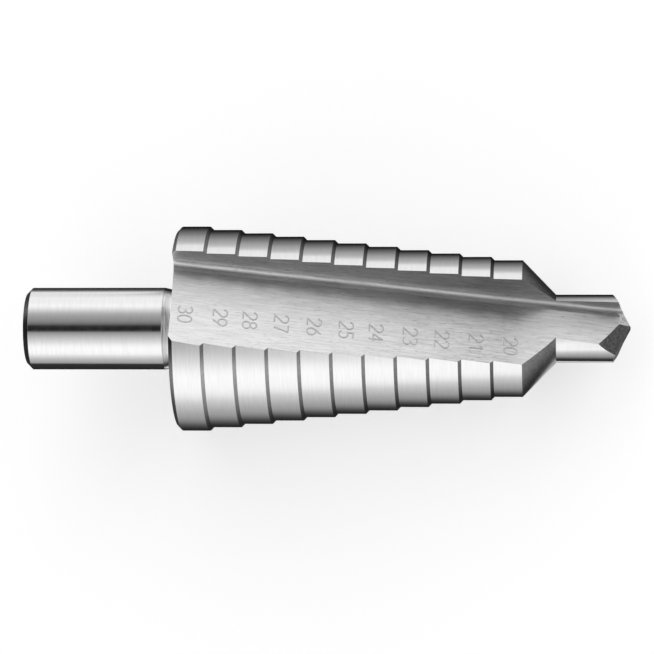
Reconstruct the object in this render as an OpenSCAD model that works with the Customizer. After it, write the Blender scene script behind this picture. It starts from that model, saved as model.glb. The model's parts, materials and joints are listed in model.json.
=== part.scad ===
// Step drill, ground from one bar: a plain shank, eleven steps, a pilot with a split point
// and two straight flutes. It lies on a table the way it comes to rest, on the edges of the
// flute that faces down, with the other flute facing up and the shank held clear.

/* [Shank] */
// Diameter of the shank that the chuck grips
shank_d = 12; // [8:0.5:13]
// Length of the shank from its end face to the neck
shank_len = 20.3; // [16:0.1:40]
// Chamfer on the free end of the shank
shank_chamfer = 0.8; // [0.4:0.1:2]
// Diameter of the neck between the shank and the steps
neck_d = 11.4; // [7:0.1:12.8]
// Length of the neck, with the taper that leads down to it
neck_len = 2.05; // [1.8:0.05:6]
// Length of that taper
taper_len = 1.2; // [0.6:0.1:1.6]

/* [Steps] */
// Number of steps
step_count = 11; // [5:1:12]
// Diameter of the smallest step
smallest_d = 20; // [17:0.5:22]
// How much each step adds to the diameter
step_rise = 1; // [0.5:0.1:1.4]
// Length of each step, its shoulder included
step_len = 4.56; // [3:0.01:6]
// Angle between a shoulder and the axis, which is also that of the cone behind the pilot
shoulder_angle = 46; // [30:1:60]
// Chamfer on the rear edge of the largest step
rear_chamfer = 0.6; // [0.3:0.1:2]

/* [Pilot and point] */
// Diameter of the pilot
pilot_d = 10; // [8:0.1:12]
// Length of the pilot, from the cone to the outer corners of the lips
pilot_len = 9.05; // [6:0.01:14]
// Included angle of the point
point_angle = 142; // [118:1:150]
// Clearance angle behind each lip
lip_clearance_angle = 21; // [10:1:24]
// Half of the chisel edge that is left between the two gashes
chisel_half = 1.18; // [0.8:0.01:1.4]
// Angle between the axis and the faces that thin the web and clear the heel
gash_angle = 32; // [28:1:40]
// How far a gash stays clear of the rake wall
gash_inset = 0.2; // [0:0.05:0.4]

/* [Flutes] */
// Distance from the axis to the inner corner of a flute, at the point
corner_at_point = 2.45; // [2:0.05:3]
// Depth of that corner under the largest step, at the rear of the body
corner_depth_at_rear = 3.2; // [2:0.1:5]
// How far the corner runs to the cutting side of the axis
corner_offset = 0.75; // [0:0.01:1.5]
// Rake angle of the wall that ends in the cutting edges
rake_angle = 15.8; // [5:0.1:25]
// Lean of the flute floor, where it starts at the corner
floor_angle = 22.5; // [10:0.5:26]
// Radius of the hollow in the flute floor
floor_radius = 45; // [35:1:90]
// Fillet between the rake wall and the floor
corner_fillet = 1.1; // [0.3:0.05:1.3]

/* [Relief] */
// How far each land is turned off centre, so that it clears behind its cutting edge
land_relief = 0.08; // [0.05:0.01:0.3]
// Angle from the flute's depth to the crest of the land, just ahead of the cutting edge
crest_angle = 8; // [6:1:14]

/* [Hidden] */
$fn = 144;

// Radii and heights along the axis, from the shank's end face up to the tip
shank_r = shank_d / 2;
neck_r = neck_d / 2;
pilot_r = pilot_d / 2;
smallest_r = smallest_d / 2;
largest_r = smallest_r + (step_count - 1) * step_rise / 2;
rear_z = shank_len + neck_len;
cone_z = rear_z + step_count * step_len;
pilot_z = cone_z + (smallest_r - pilot_r) / tan(shoulder_angle);
lip_slope = 90 - point_angle / 2;
tip_z = pilot_z + pilot_len + pilot_r * tan(lip_slope);
shoulder_len = step_rise / 2 / tan(shoulder_angle);

// Slope of the flutes: their corner climbs from near the axis at the point to the rear step
corner_at_rear = largest_r - corner_depth_at_rear;
flute_slope = atan((corner_at_rear - corner_at_point) / (tip_z - rear_z));

// Directions of the two faces at the tip that open the web and clear the heel
web_face_azimuth = 25;
heel_face_azimuth = 42;

// Longer than the drill in every direction, for the bodies that cut it
reach = 2 * tip_z;

// Centre that one side of the body is turned about; the other side has the opposite one
relief_centre = land_relief * [sin(crest_angle), -cos(crest_angle)];

// Step number i counts from the largest, at the rear
function step_r(i) = largest_r - i * step_rise / 2;
function step_start(i) = rear_z + i * step_len + (i == 0 ? rear_chamfer : shoulder_len);
function step_end(i) = rear_z + (i + 1) * step_len;

// Outline of the steps, the cone and the pilot, as radius and height
function body_outline() = concat(
    [[0, rear_z], [largest_r - rear_chamfer, rear_z]],
    [for (i = [0 : step_count - 1], z = [step_start(i), step_end(i)]) [step_r(i), z]],
    [[pilot_r, pilot_z], [pilot_r, tip_z], [0, tip_z]]
);

module turned_body() {
    rotate_extrude() polygon(body_outline());
}

// Each land is turned about its own centre, so its radius falls away behind the cutting edge
module relieved_body() {
    intersection() {
        translate(relief_centre) turned_body();
        translate(-relief_centre) turned_body();
    }
}

module shank() {
    rotate_extrude() polygon([
        [0, 0],
        [shank_r - shank_chamfer, 0],
        [shank_r, shank_chamfer],
        [shank_r, shank_len],
        [neck_r, shank_len + taper_len],
        [neck_r, rear_z + rear_chamfer],
        [0, rear_z + rear_chamfer]
    ]);
}

// Section of a flute, with its sharp inner corner at the origin and its opening towards +X.
// The floor is an arc that starts at the corner, and the rake wall is a straight line.
floor_centre = floor_radius * [cos(floor_angle), sin(floor_angle)];
wall_normal = [-sin(rake_angle), cos(rake_angle)];

// The fillet's circle touches the wall and the floor from inside the opening
fillet_along = let (across = corner_fillet - floor_centre * wall_normal,
                    along = floor_centre * [cos(rake_angle), sin(rake_angle)])
    along - sqrt(pow(floor_radius - corner_fillet, 2) - across * across);
fillet_centre = fillet_along * [cos(rake_angle), sin(rake_angle)] + corner_fillet * wall_normal;

// Everything on the open side of the rake wall, or of a line set in from it
module rake_side(inset = 0) {
    rotate(rake_angle) translate([-reach, inset]) square([2 * reach, reach]);
}

module corner_web() {
    wall_touch = fillet_centre - corner_fillet * wall_normal;
    outward = fillet_centre - floor_centre;
    floor_touch = fillet_centre + corner_fillet * outward / norm(outward);
    difference() {
        polygon([-corner_fillet * [1, 1], wall_touch, fillet_centre, floor_touch]);
        translate(fillet_centre) circle(corner_fillet);
    }
}

module flute_section() {
    difference() {
        intersection() {
            translate(floor_centre) circle(floor_radius, $fn = 4 * $fn);
            rake_side();
        }
        corner_web();
    }
}

// The path of the grinding wheel: straight, and sloping away from the axis to the rear
module along_flute() {
    translate([corner_at_point, -corner_offset, tip_z])
        rotate([0, -flute_slope, 0])
            linear_extrude(2 * reach, center = true) children();
}

// A face through the end of the chisel edge, leaning back from the tip
module gash_face(azimuth) {
    rotate([0, 0, azimuth])
        translate([chisel_half, 0, tip_z])
            rotate([0, -gash_angle, 0])
                translate([0, -reach, -reach])
                    cube(2 * reach);
}

// Thins the web ahead of one lip and clears the heel of the other land
module gash() {
    intersection() {
        along_flute() rake_side(gash_inset);
        union() {
            gash_face(web_face_azimuth);
            gash_face(heel_face_azimuth);
        }
    }
}

// Flank behind one lip, falling away outwards and backwards from it
module flank() {
    translate([0, 0, tip_z])
        rotate([lip_clearance_angle, lip_slope, 0])
            translate([-reach, -reach, 0])
                cube(2 * reach);
}

// Points where the edges of a flute meet the largest or smallest step, for the lie at rest
function across(v) = [v.x / cos(flute_slope), v.y];
function flute_corner(z) = [corner_at_point + (tip_z - z) * tan(flute_slope), -corner_offset];
function cutting_edge(z, r) =
    let (start = flute_corner(z) + relief_centre,
         way = across([cos(rake_angle), sin(rake_angle)]),
         a = way * way,
         b = start * way,
         t = (sqrt(b * b - a * (start * start - r * r)) - b) / a)
    flute_corner(z) + t * way;
function floor_point(z, turn) =
    let (angle = floor_angle - turn)
    flute_corner(z) + across(floor_centre - floor_radius * [cos(angle), sin(angle)]);
function heel_turn(z, r, low = 0, high = 90, tries = 30) =
    let (middle = (low + high) / 2)
    tries == 0 ? middle
        : norm(floor_point(z, middle) - relief_centre) < r ? heel_turn(z, r, middle, high, tries - 1)
        : heel_turn(z, r, low, middle, tries - 1);
function heel_edge(z, r) = floor_point(z, heel_turn(z, r));
function facing_down(p, z) = [-p.x, -p.y, z];

rear_edge = facing_down(cutting_edge(step_end(0), largest_r), step_end(0));
front_edge = facing_down(cutting_edge(cone_z, smallest_r), cone_z);
rear_heel = facing_down(heel_edge(step_end(0), largest_r), step_end(0));

function unit(v) = v / norm(v);
up = unit(cross(front_edge - rear_edge, rear_heel - rear_edge));
forward = unit([0, 0, 1] - up.z * up);
sideways = cross(up, forward);

// The box is centred on the origin: its ends are the tip and the low side of the shank's end
shank_end_x = -(shank_r - shank_chamfer) * norm([forward.x, forward.y]);
tip_x = tip_z * forward.z;
middle_x = (shank_end_x + tip_x) / 2;

// Lays the drill on the table, tip towards +X, resting on two cutting edges and a heel
module lie_down() {
    multmatrix([
        [forward.x, forward.y, forward.z, -middle_x],
        [sideways.x, sideways.y, sideways.z, 0],
        [up.x, up.y, up.z, -up * rear_edge],
        [0, 0, 0, 1]
    ]) children();
}

module step_drill() {
    color("silver") lie_down() difference() {
        union() {
            shank();
            relieved_body();
        }
        for (side = [0, 180]) rotate([0, 0, side]) {
            along_flute() flute_section();
            gash();
            flank();
        }
    }
}

step_drill();
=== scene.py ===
"""Looks of the step drill: turned and ground steel with painted light and shade in some faces, the sizes
marked in its flute, and a plain studio whose floor the steel sees as a painted reflection.
"""

import json
import math

import bpy
from mathutils import Matrix, Vector
from mathutils.bvhtree import BVHTree


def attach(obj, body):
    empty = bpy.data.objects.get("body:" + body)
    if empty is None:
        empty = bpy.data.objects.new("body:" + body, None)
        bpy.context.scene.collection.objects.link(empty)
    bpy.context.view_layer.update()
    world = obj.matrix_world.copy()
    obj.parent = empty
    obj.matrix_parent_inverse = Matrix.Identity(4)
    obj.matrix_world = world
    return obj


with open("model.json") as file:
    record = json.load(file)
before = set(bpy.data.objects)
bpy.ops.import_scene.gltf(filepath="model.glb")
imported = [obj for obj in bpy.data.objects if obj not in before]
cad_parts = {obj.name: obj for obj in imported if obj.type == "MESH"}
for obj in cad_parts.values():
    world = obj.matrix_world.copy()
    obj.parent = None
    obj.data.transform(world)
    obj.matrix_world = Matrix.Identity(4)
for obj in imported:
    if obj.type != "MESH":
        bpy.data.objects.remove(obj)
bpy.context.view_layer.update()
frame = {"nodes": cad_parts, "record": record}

MM = 0.001
BODY = "root"

# The drill's own axes on the table, from the record's shank mount: forward runs from the shank to the point
SHANK_CHAMFER = 0.8 * MM
SHANK_MOUNT = frame["record"]["mounts"][0]
SHANK_RADIUS = SHANK_MOUNT["dims"]["r_mm"] * MM
SHANK_GRIP = SHANK_MOUNT["dims"]["length_mm"] * MM
FORWARD = -Vector(SHANK_MOUNT["axis"]).normalized()
SIDEWAYS = Vector((0, 1, 0))
UPWARD = FORWARD.cross(SIDEWAYS)
SHANK_END = Vector(SHANK_MOUNT["pos_m"]) - FORWARD * (SHANK_GRIP / 2 + SHANK_CHAMFER)

# Places along the drill, measured from the shank's end
NECK_START = SHANK_CHAMFER + SHANK_GRIP
NECK_LENGTH = 2.1 * MM
NECK_END = NECK_START + NECK_LENGTH
CONE_START = 72.5 * MM
POINT_START = 80 * MM

# The flute that faces up opens this far over to the far side, and both flutes slope along the axis
FLUTE_TURN = math.radians(29.95)
FLUTE_SLOPE = math.radians(8.09)
FLUTE_OPENING = UPWARD * math.cos(FLUTE_TURN) + SIDEWAYS * math.sin(FLUTE_TURN)
TOWARDS_HEEL = FORWARD.cross(FLUTE_OPENING)

# Camera, as in the photograph: a long lens, looking down on the near side from a little ahead
CAMERA_DISTANCE = 490 * MM
CAMERA_LENS = 184.8
CAMERA_SENSOR = 36
CAMERA_CLIP = 10 * MM
CAMERA_LEAN = math.radians(19)
CAMERA_AHEAD = math.radians(4.3)
AIM_ALONG = 43.97 * MM
AIM_RAISED = 0.24 * MM

# Steel: brightness of the turned faces, rounding of the edges, and depth of the lines that the tools left
STEEL = 0.6
EDGE_RADIUS = 0.03 * MM
TURNED_DEPTH = 0.0006 * MM
NECK_DEPTH = 0.04 * MM
BRUSHED_DEPTH = 0.004 * MM
FACET_DEPTH = 0.001 * MM

# Ranges of a noise texture's values: most of them, only the middle ones and only the top ones
MOST = (0.3, 0.7)
MIDDLE = (0.35, 0.65)
TOP = (0.58, 0.75)

# Numbers marked in the upper flute, one beside each step, with their tops towards the point
STEP_SIZES = range(30, 19, -1)
MARK_START = 24.45 * MM
MARK_PITCH = 4.61 * MM
# The real ones aren't spaced evenly, so each has its own shift towards the point, in millimetres
MARK_SHIFTS = [0, 0.37, 0, -0.13, -0.07, -0.12, -0.46, -0.2, -0.3, -0.04, 0.29]
# Distance of the first from the axis, towards the heel, and what each next one adds to it
MARK_ACROSS = 7.2 * MM
MARK_DRIFT = -0.04 * MM
DIGIT_HEIGHT = 2.0 * MM
DIGIT_WIDTH = 1.2 * MM
DIGIT_ADVANCE = 1.6 * MM
STROKE_WIDTH = 0.3 * MM
STROKE_HEIGHT = 0.02 * MM


# Node helpers

def add_node(tree, kind, inputs=None, **settings):
    """Adds one shader node. Each input is a plain value or another node's output."""
    node = tree.nodes.new("ShaderNode" + kind)
    for name, value in settings.items():
        setattr(node, name, value)
    for name, value in (inputs or {}).items():
        if isinstance(value, bpy.types.NodeSocket):
            tree.links.new(value, node.inputs[name])
        else:
            node.inputs[name].default_value = value
    return node


def calculate(tree, operation, first, second=0.0):
    return add_node(tree, "Math", {0: first, 1: second}, operation=operation).outputs[0]


def remap(tree, value, source, target):
    """Takes a value from one range to another, and stops at the second one's ends."""
    return add_node(tree, "MapRange", {
        "Value": value,
        "From Min": source[0],
        "From Max": source[1],
        "To Min": target[0],
        "To Max": target[1],
    }).outputs[0]


def blend(tree, amount, first, second):
    """Goes from one brightness to another as the amount goes from 0 to 1. Mix takes them at 6 and 7."""
    return add_node(tree, "Mix", {0: amount, 6: first, 7: second}, data_type="RGBA").outputs[2]


def ramp(tree, value, stops):
    """Grey brightness by a value, from a list of (value, brightness) in rising order."""
    low, high = stops[0][0], stops[-1][0]
    node = add_node(tree, "ValToRGB", {"Fac": remap(tree, value, (low, high), (0, 1))})
    elements = node.color_ramp.elements
    while len(elements) < len(stops):
        elements.new(0.5)
    for element, (position, brightness) in zip(elements, stops):
        element.position = (position - low) / (high - low)
        element.color = (brightness, brightness, brightness, 1)
    return node.outputs["Color"]


def drill_turn(along=FORWARD):
    """Rotation whose X runs along a direction and whose Y stays across the drill."""
    third = along.cross(SIDEWAYS).normalized()
    return Matrix((along, SIDEWAYS, third)).transposed().to_euler()


def coordinates_along(tree, along, stretch=1.0, start=0.0):
    """Position in millimetres from a start on the axis, with X along a direction and divided by stretch."""
    return add_node(tree, "Mapping", {
        "Vector": add_node(tree, "TexCoord").outputs["Object"],
        "Location": SHANK_END + FORWARD * start,
        "Rotation": drill_turn(along),
        "Scale": (MM * stretch, MM, MM),
    }, vector_type="TEXTURE").outputs[0]


def along_drill(tree, stops):
    """A value that changes along the drill, from a list of (millimetres from the shank's end, value)."""
    station = add_node(tree, "SeparateXYZ", {0: coordinates_along(tree, FORWARD)}).outputs["X"]
    return ramp(tree, station, stops)


def noise(tree, vector, scale, detail=2.0, roughness=0.5):
    return add_node(tree, "TexNoise", {
        "Vector": vector, "Scale": scale, "Detail": detail, "Roughness": roughness,
    }, normalize=True).outputs["Fac"]


def bump(tree, height, distance):
    """Direction of the surface, with rounded edges and relief of a given depth."""
    rounded = add_node(tree, "Bevel", {"Radius": EDGE_RADIUS}, samples=8).outputs[0]
    return add_node(tree, "Bump", {"Height": height, "Distance": distance, "Normal": rounded}).outputs[0]


# Materials

def new_material(name):
    material = bpy.data.materials.new(name)
    material.use_nodes = True
    material.node_tree.nodes.clear()
    return material, material.node_tree


def finish_metal(tree, inputs):
    """Ends a material's tree with bare metal."""
    shader = add_node(tree, "BsdfPrincipled", {"Metallic": 1.0, **inputs})
    add_node(tree, "OutputMaterial", {"Surface": shader.outputs[0]})


def turned_steel():
    """Lands, pilot and shank: bright, with faint lines round the axis and a few dull smears."""
    material, tree = new_material("turned_steel")
    lines = noise(tree, coordinates_along(tree, FORWARD, stretch=1 / 12), scale=0.35, detail=4)
    smears = noise(tree, coordinates_along(tree, FORWARD, stretch=0.5), scale=0.5)
    finish_metal(tree, {
        "Base Color": remap(tree, lines, MOST, (STEEL * 0.97, STEEL * 1.03)),
        "Roughness": remap(tree, smears, MOST, (0.11, 0.15)),
        "Normal": bump(tree, lines, TURNED_DEPTH),
    })
    return material


def neck_steel():
    """Neck: left as the lathe's coarser cut made it."""
    material, tree = new_material("neck_steel")
    cuts = noise(tree, coordinates_along(tree, FORWARD, stretch=1 / 12), scale=0.25, detail=2)
    finish_metal(tree, {
        "Base Color": remap(tree, cuts, MOST, (STEEL * 0.85, STEEL * 1.25)),
        "Roughness": 0.2,
        "Normal": bump(tree, cuts, NECK_DEPTH),
    })
    return material


def brushed_steel(name, path, roughness, contrast, brightness):
    """One part of a flute: ground along its path, with fine streaks and short dark flecks, and painted light
    and shade as its brightness along the drill.
    """
    material, tree = new_material(name)
    streaks = noise(tree, coordinates_along(tree, path, stretch=12), scale=3.5, detail=4, roughness=0.6)
    flecks = noise(tree, coordinates_along(tree, path, stretch=5), scale=6.0, detail=1)
    clouds = noise(tree, coordinates_along(tree, path, stretch=3), scale=0.35)
    grain = calculate(tree, "ADD", remap(tree, streaks, MOST, (-1, 1)), remap(tree, flecks, TOP, (0, -1.6)))
    grain = calculate(tree, "MULTIPLY", grain, along_drill(tree, contrast))
    # The brightness along the drill is painted light and shade, not a change in the steel
    tone = calculate(tree, "ADD", along_drill(tree, brightness), remap(tree, clouds, MOST, (-0.02, 0.02)))
    finish_metal(tree, {
        "Base Color": calculate(tree, "ADD", tone, grain),
        "Roughness": remap(tree, clouds, MOST, (roughness - 0.03, roughness + 0.03)),
        "Normal": bump(tree, streaks, BRUSHED_DEPTH),
    })
    return material


def facet_steel(name, roughness, grain, brightness):
    """Shoulders, cone, chamfers and point: left by the grinding wheel, with painted light and shade as their
    brightness along the drill.
    """
    material, tree = new_material(name)
    lines = noise(tree, coordinates_along(tree, FORWARD, stretch=1 / 4), scale=1.5, detail=3)
    specks = noise(tree, coordinates_along(tree, FORWARD), scale=2.5, detail=3, roughness=0.7)
    tone = calculate(tree, "ADD", remap(tree, lines, MOST, (-0.03, 0.03)),
                     remap(tree, specks, MIDDLE, (-grain, grain)))
    finish_metal(tree, {
        # Brightness along the drill: painted light and shade
        "Base Color": calculate(tree, "ADD", tone, along_drill(tree, brightness)),
        "Roughness": roughness,
        "Normal": bump(tree, lines, FACET_DEPTH),
    })
    return material


def etched_steel():
    """Marked numbers: dulled and darkened."""
    material, tree = new_material("etched_steel")
    specks = noise(tree, coordinates_along(tree, FORWARD), scale=6.0)
    finish_metal(tree, {
        "Base Color": remap(tree, specks, MIDDLE, (0.35, 0.5)),
        "Roughness": 0.3,
    })
    return material


# Surfaces of the drill

# Roughness of each part of a flute, and contrast of its streaks and brightness along the drill. The
# brightness is painted
# light and shade: the wall lighter, the corner darker, and mostly darker towards the point.
FLUTE_LOOKS_AND_PAINTED_LIGHT = {
    "floor": (0.25, [(25, 0.06), (50, 0.08), (64, 0.11), (76, 0.08)],
              [(20, 0.61), (50, 0.59), (70, 0.52), (78, 0.7)]),
    "corner": (0.3, [(20, 0.08), (80, 0.08)], [(20, 0.53), (60, 0.48), (80, 0.42)]),
    "wall": (0.3, [(20, 0.12), (80, 0.1)], [(20, 0.75), (50, 0.64), (75, 0.52)]),
}
# Roughness and grain of the other ground faces, and brightness along the drill, which is painted light and
# shade: the shoulders darker towards the point, the cone dark, the chamfer at the body's rear end lighter;
# the point's is the steel's own.
FACET_LOOKS_AND_PAINTED_LIGHT = {
    "shoulder": (0.22, 0.03, [(25, 0.42), (50, 0.3), (70, 0.2)]),
    "cone": (0.3, 0.08, [(72, 0.36), (78, 0.36)]),
    "chamfer": (0.2, 0.02, [(0, 0.6), (15, 0.6), (22, 0.75)]),
    "point": (0.25, 0.18, [(72, 0.6), (90, 0.6)]),
}

# Limits that tell the faces apart, as cosines of the angle between a face's direction and the drill's
LENGTHWISE = 0.05
ENDWISE = 0.2
TAPERED = 0.5
SQUARE_END = 0.9
# The same for the angle to the direction straight out from the axis
TURNED_SLOPE = 0.65
ROUND = 0.97
# The same for the angle to the direction in which the flute opens
FLUTE_WALL = -0.2
FLUTE_FLOOR = 0.9


def surface_kind(polygon):
    """Which kind of surface a face of the drill is, from its direction and place about the axis."""
    offset = polygon.center - SHANK_END
    station = offset.dot(FORWARD)
    radial = offset - FORWARD * station
    facing = polygon.normal.dot(FORWARD)
    outward = polygon.normal.dot(radial.normalized())
    if NECK_START < station < NECK_END and radial.length < SHANK_RADIUS and abs(facing) < TAPERED:
        return "neck"
    if abs(facing) < LENGTHWISE and outward > ROUND:
        return "turned"
    if facing < -ENDWISE:
        return "chamfer" if facing > -SQUARE_END else "turned"
    if facing > ENDWISE:
        if outward < TURNED_SLOPE or station > POINT_START:
            return "point"
        return "shoulder" if station < CONE_START else "cone"
    side, sign = ("upper", 1) if offset.dot(FLUTE_OPENING) > 0 else ("lower", -1)
    opening = polygon.normal.dot(FLUTE_OPENING) * sign
    return side + ("_wall" if opening < FLUTE_WALL else "_corner" if opening < FLUTE_FLOOR else "_floor")


def dress_drill(drill):
    """Gives each face of the drill one of the kinds of steel surface."""
    materials = {"turned": turned_steel(), "neck": neck_steel()}
    for side, way in (("upper", -1), ("lower", 1)):
        path = FORWARD * math.cos(FLUTE_SLOPE) + FLUTE_OPENING * math.sin(FLUTE_SLOPE) * way
        for part, look in FLUTE_LOOKS_AND_PAINTED_LIGHT.items():
            kind = f"{side}_{part}"
            materials[kind] = brushed_steel(kind + "_steel", path, *look)
    for kind, look in FACET_LOOKS_AND_PAINTED_LIGHT.items():
        materials[kind] = facet_steel(kind + "_steel", *look)
    drill.data.materials.clear()
    for material in materials.values():
        drill.data.materials.append(material)
    kinds = list(materials)
    for polygon in drill.data.polygons:
        polygon.material_index = kinds.index(surface_kind(polygon))


# Numbers

def arc(centre_x, centre_y, radius_x, radius_y, start, end, steps=28):
    """Points along part of an ellipse, from one angle to another in degrees."""
    turns = [math.radians(start + (end - start) * step / steps) for step in range(steps + 1)]
    return [(centre_x + radius_x * math.cos(turn), centre_y + radius_y * math.sin(turn)) for turn in turns]


# Strokes of each digit, in a cell one wide and one high
DIGITS = {
    "0": [arc(0.5, 0.5, 0.5, 0.5, 0, 360)],
    "1": [[(0.15, 0.75), (0.55, 1), (0.55, 0)]],
    "2": [arc(0.5, 0.72, 0.5, 0.28, 170, -30) + [(0, 0), (1, 0)]],
    "3": [arc(0.48, 0.76, 0.46, 0.24, 150, -90), arc(0.48, 0.26, 0.52, 0.26, 90, -150)],
    "4": [[(0.72, 0), (0.72, 1), (0, 0.3), (1, 0.3)]],
    "5": [[(0.95, 1), (0.2, 1)] + arc(0.45, 0.32, 0.5, 0.32, 130, -150)],
    "6": [arc(0.5, 0.31, 0.5, 0.31, 0, 360), [(0.8, 1), (0.06, 0.42)]],
    "7": [[(0, 1), (1, 1), (0.4, 0)]],
    "8": [arc(0.5, 0.77, 0.42, 0.23, 0, 360), arc(0.5, 0.27, 0.5, 0.27, 0, 360)],
    "9": [arc(0.5, 0.69, 0.5, 0.31, 0, 360), [(0.94, 0.58), (0.2, 0)]],
}

# Section of a stroke: a low bead, as shares of its width and height
BEAD = [(-0.5, -0.3), (-0.3, 0.7), (0.0, 1.0), (0.3, 0.7), (0.5, -0.3)]

# The floor of the flute is looked for from this far out
PROBE_HEIGHT = 30 * MM


def fill_in(points, spacing):
    """Adds points along a stroke, so that neighbours lie no farther apart than the spacing."""
    filled = [points[0]]
    for start, end in zip(points, points[1:]):
        count = max(1, math.ceil(math.dist(start, end) / spacing))
        for step in range(1, count + 1):
            filled.append(tuple(a + (b - a) * step / count for a, b in zip(start, end)))
    return filled


def number_strokes(number):
    """Strokes of a number in metres: along the drill and towards the heel, from the number's centre."""
    strokes = []
    for place, digit in enumerate(str(number)):
        shift = (place - 0.5) * DIGIT_ADVANCE
        for stroke in DIGITS[digit]:
            strokes.append([((y - 0.5) * DIGIT_HEIGHT, (x - 0.5) * DIGIT_WIDTH + shift) for x, y in stroke])
    return strokes


def flute_spot(surface, along, across):
    """The place and direction of the upper flute's floor under a point beside the axis."""
    above = SHANK_END + FORWARD * along + TOWARDS_HEEL * across + FLUTE_OPENING * PROBE_HEIGHT
    place, normal, _, _ = surface.ray_cast(above, -FLUTE_OPENING)
    return place, normal


def add_bead(vertices, faces, spots):
    """Adds one stroke: a low bead through places on the floor of the flute."""
    for index, (place, normal) in enumerate(spots):
        before = spots[max(index - 1, 0)][0]
        after = spots[min(index + 1, len(spots) - 1)][0]
        side = normal.cross(after - before).normalized()
        ring = len(vertices)
        for share, rise in BEAD:
            vertices.append(place + side * share * STROKE_WIDTH + normal * rise * STROKE_HEIGHT)
        if index:
            last = ring - len(BEAD)
            faces += [(last + i, last + i + 1, ring + i + 1, ring + i) for i in range(len(BEAD) - 1)]


def make_mark(number, along, across, surface, material):
    """One number, with its centre at a place along the drill and beside the axis."""
    vertices, faces = [], []
    for stroke in number_strokes(number):
        points = fill_in(stroke, STROKE_WIDTH / 2)
        add_bead(vertices, faces, [flute_spot(surface, along + a, across + b) for a, b in points])
    mesh = bpy.data.meshes.new(f"mark_{number}")
    mesh.from_pydata(vertices, [], faces)
    mesh.shade_smooth()
    mesh.materials.append(material)
    mark = bpy.data.objects.new(mesh.name, mesh)
    bpy.context.scene.collection.objects.link(mark)
    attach(mark, BODY)


def mark_sizes(drill):
    """Marks the size of each step in the upper flute."""
    mesh = drill.data
    surface = BVHTree.FromPolygons([vertex.co for vertex in mesh.vertices],
                                   [tuple(polygon.vertices) for polygon in mesh.polygons])
    material = etched_steel()
    for index, (size, shift) in enumerate(zip(STEP_SIZES, MARK_SHIFTS)):
        along = MARK_START + index * MARK_PITCH + shift * MM
        across = MARK_ACROSS + index * MARK_DRIFT
        make_mark(size, along, across, surface, material)


# Studio

# Brightness round the drill's axis, by degrees from straight above it towards the far side. One list is
# for directions that lean to the shank, as the turned lands reflect them, and one for the point's side.
SHANK_SIDE = [(-109, 1.5), (-91, 1.58), (-77, 1.62), (-69, 1.52), (-55, 1.12), (-39, 0.7), (-29, 0.42),
              (-26, 0.04), (-19, 0.01), (-11, 0.04), (-7, 0.2), (1, 0.38), (17, 0.57), (25, 0.73),
              (33, 1.02), (41, 1.35), (49, 1.55), (61, 1.43), (81, 1.4), (91, 1.25)]
POINT_SIDE = [(-109, 1.0), (-69, 0.8), (-55, 0.65), (-41, 0.4), (-27, 0.2), (23, 0.13), (29, 0.22),
              (33, 0.35), (37, 0.48), (41, 0.68), (44, 1.02), (50, 1.36), (61, 1.42), (91, 1.42)]
# Leans to the point between which the first list gives way to the second. A lean is a direction's share
# along the drill, from -1 straight back to 1 straight ahead.
SIDES_JOIN = (-0.01, 0.09)
# How much of that is left towards the two ends, by lean
ENDS = [(-1, 0.01), (-0.8, 0.05), (-0.65, 0.6), (-0.5, 1), (0.12, 1), (0.18, 0.8), (0.25, 0.68),
        (0.5, 0.66), (0.83, 0.66), (0.9, 0.4), (0.95, 0.28), (1, 0.22)]
# Soft panels between the middle and the ends, by lean
PANELS = [(-0.8, 0), (-0.68, 1.2), (-0.38, 1.2), (-0.26, 0), (0.3, 0), (0.42, 1.2), (0.66, 1.2), (0.76, 0)]

# The floor is white to the camera and keeps the drill's shadow
FLOOR_HALF = 5.0
FLOOR_COLOUR = 0.6
FLOOR_LIFT = 0.57
# To glossy rays the floor is a painted reflection: it glows with painted light, and painted shade where the
# drill's shadow falls, by how far a place on it lies round the drill's axis.
# One list is for the floor beside the shank and one for the floor beside the body.
SHANK_PAINTED_REFLECTION = [(-149, 0.03), (-125.5, 0.05), (-123.5, 0.5), (-118, 0.64), (-111, 0.78), (-103, 1.1),
              (-93, 1.58), (91, 1.2), (95, 1.25), (102, 1.2), (107, 0.4), (112, 0.14), (119, 0.05)]
BODY_PAINTED_REFLECTION = [(-164, 0.1), (-154, 0.2), (-148, 1.2), (-142, 0.7), (-138, 0.08), (-134, 0.02), (-130, 0.03),
             (-126, 0.08), (-123, 0.16), (-119, 0.35), (-115, 0.53), (-111, 0.64), (-106, 0.84),
             (-102, 1.02), (-98, 1.34), (-93, 1.56), (91, 0.95), (94, 0.7), (98, 0.54), (102, 0.32),
             (107, 0.16), (110, 0.07), (114, 0.01), (123, 0.01), (128, 0.04), (134, 0.08), (139, 0.02)]
# Leans from the neck between which the first list gives way to the second
PAINTED_REFLECTION_JOIN = (-0.17, -0.13)
# The painted reflection's brightness drops behind the shank, by lean, and ahead of the point, by millimetres
# from the neck, as painted shade. Each has a range and the shares left at its two ends.
BEHIND_PAINTED_FALLOFF = (-1, -0.9), (0.3, 1)
AHEAD_PAINTED_FALLOFF = (70, 130), (1, 0.2)


def around_drill(tree, direction):
    """Where a direction points: degrees from above the drill to the far side, and its lean to the point."""
    parts = add_node(tree, "SeparateXYZ", {0: direction}).outputs
    turn = calculate(tree, "ARCTAN2", parts["Y"], parts["Z"])
    return calculate(tree, "DEGREES", turn), parts["X"]


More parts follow.
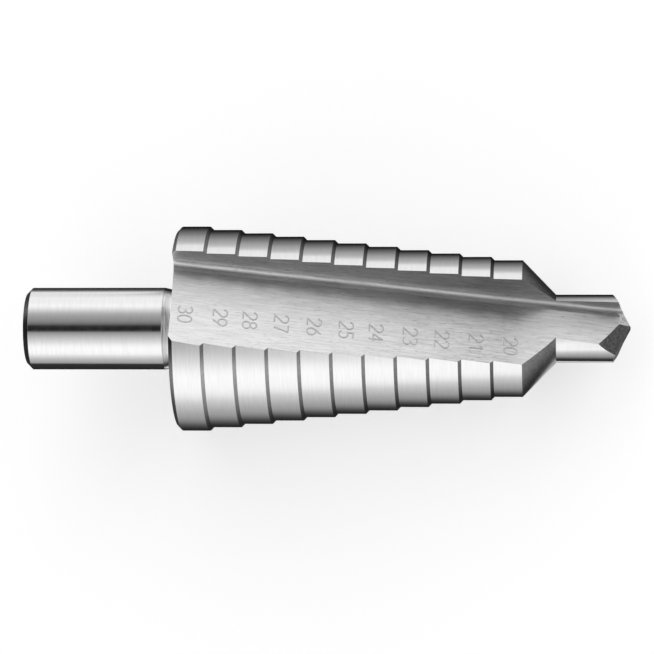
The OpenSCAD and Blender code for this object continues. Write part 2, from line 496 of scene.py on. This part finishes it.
def make_world():
    """The studio round the drill, as the steel sees it above the floor."""
    world = bpy.data.worlds.new("studio")
    world.use_nodes = True
    tree = world.node_tree
    tree.nodes.clear()
    seen = add_node(tree, "Mapping", {
        "Vector": add_node(tree, "TexCoord").outputs["Generated"],
        "Rotation": drill_turn(),
    }, vector_type="TEXTURE").outputs[0]
    turn, lean = around_drill(tree, seen)
    ahead = remap(tree, lean, SIDES_JOIN, (0, 1))
    light = blend(tree, ahead, ramp(tree, turn, SHANK_SIDE), ramp(tree, turn, POINT_SIDE))
    light = calculate(tree, "MULTIPLY", light, ramp(tree, lean, ENDS))
    light = calculate(tree, "MAXIMUM", light, ramp(tree, lean, PANELS))
    background = add_node(tree, "Background", {"Color": light})
    add_node(tree, "OutputWorld", {"Surface": background.outputs[0]})
    bpy.context.scene.world = world


def pale_floor():
    """White where the camera sees it, apart from the drill's shadow; to glossy rays it glows as a painted
    reflection of light and shade.
    """
    material, tree = new_material("pale_floor")
    from_neck = coordinates_along(tree, FORWARD, start=NECK_END)
    station = add_node(tree, "SeparateXYZ", {0: from_neck}).outputs["X"]
    direction = add_node(tree, "VectorMath", {0: from_neck}, operation="NORMALIZE").outputs[0]
    turn, lean = around_drill(tree, direction)
    ahead = remap(tree, lean, PAINTED_REFLECTION_JOIN, (0, 1))
    # Painted light and painted shade of the floor, as the steel reflects it
    painted_light_and_shade = blend(tree, ahead, ramp(tree, turn, SHANK_PAINTED_REFLECTION), ramp(tree, turn, BODY_PAINTED_REFLECTION))
    painted_falloff = calculate(tree, "MULTIPLY", remap(tree, lean, *BEHIND_PAINTED_FALLOFF), remap(tree, station, *AHEAD_PAINTED_FALLOFF))
    rays = add_node(tree, "LightPath")
    seen = calculate(tree, "MAXIMUM", rays.outputs["Is Camera Ray"], rays.outputs["Is Transmission Ray"])
    paint = add_node(tree, "BsdfDiffuse", {"Color": (FLOOR_COLOUR, FLOOR_COLOUR, FLOOR_COLOUR, 1)})
    lift = add_node(tree, "Emission", {"Strength": calculate(tree, "MULTIPLY", seen, FLOOR_LIFT)})
    white = add_node(tree, "AddShader", {0: paint.outputs[0], 1: lift.outputs[0]})
    # Painted reflection: to glossy rays the floor glows by itself with painted light and shade instead of
    # being lit
    studio = add_node(tree, "Emission", {"Color": painted_light_and_shade, "Strength": painted_falloff})
    both = add_node(tree, "MixShader", {
        0: rays.outputs["Is Glossy Ray"], 1: white.outputs[0], 2: studio.outputs[0],
    })
    add_node(tree, "OutputMaterial", {"Surface": both.outputs[0]})
    return material


def make_floor():
    """The table that the drill lies on."""
    mesh = bpy.data.meshes.new("floor")
    corners = [(FLOOR_HALF * x, FLOOR_HALF * y, 0) for x, y in ((-1, -1), (1, -1), (1, 1), (-1, 1))]
    mesh.from_pydata(corners, [], [(0, 1, 2, 3)])
    mesh.materials.append(pale_floor())
    floor = bpy.data.objects.new("floor", mesh)
    bpy.context.scene.collection.objects.link(floor)


def make_camera():
    """The photograph's view: the drill lies level in the picture, with its point to the right."""
    across = SIDEWAYS * math.cos(CAMERA_LEAN) + UPWARD * math.sin(CAMERA_LEAN)
    towards = UPWARD * math.cos(CAMERA_LEAN) - SIDEWAYS * math.sin(CAMERA_LEAN)
    target = SHANK_END + FORWARD * AIM_ALONG + across * AIM_RAISED
    back = towards * math.cos(CAMERA_AHEAD) + FORWARD * math.sin(CAMERA_AHEAD)
    right = across.cross(back)
    data = bpy.data.cameras.new("camera")
    data.lens = CAMERA_LENS
    data.sensor_width = CAMERA_SENSOR
    data.clip_start = CAMERA_CLIP
    camera = bpy.data.objects.new("camera", data)
    turn = Matrix((right, across, back)).transposed().to_4x4()
    camera.matrix_world = Matrix.Translation(target + back * CAMERA_DISTANCE) @ turn
    bpy.context.scene.collection.objects.link(camera)
    bpy.context.scene.camera = camera


drill = frame["nodes"]["step_drill"]
dress_drill(drill)
mark_sizes(drill)
make_world()
make_floor()
make_camera()
bpy.context.scene.view_settings.view_transform = "Standard"
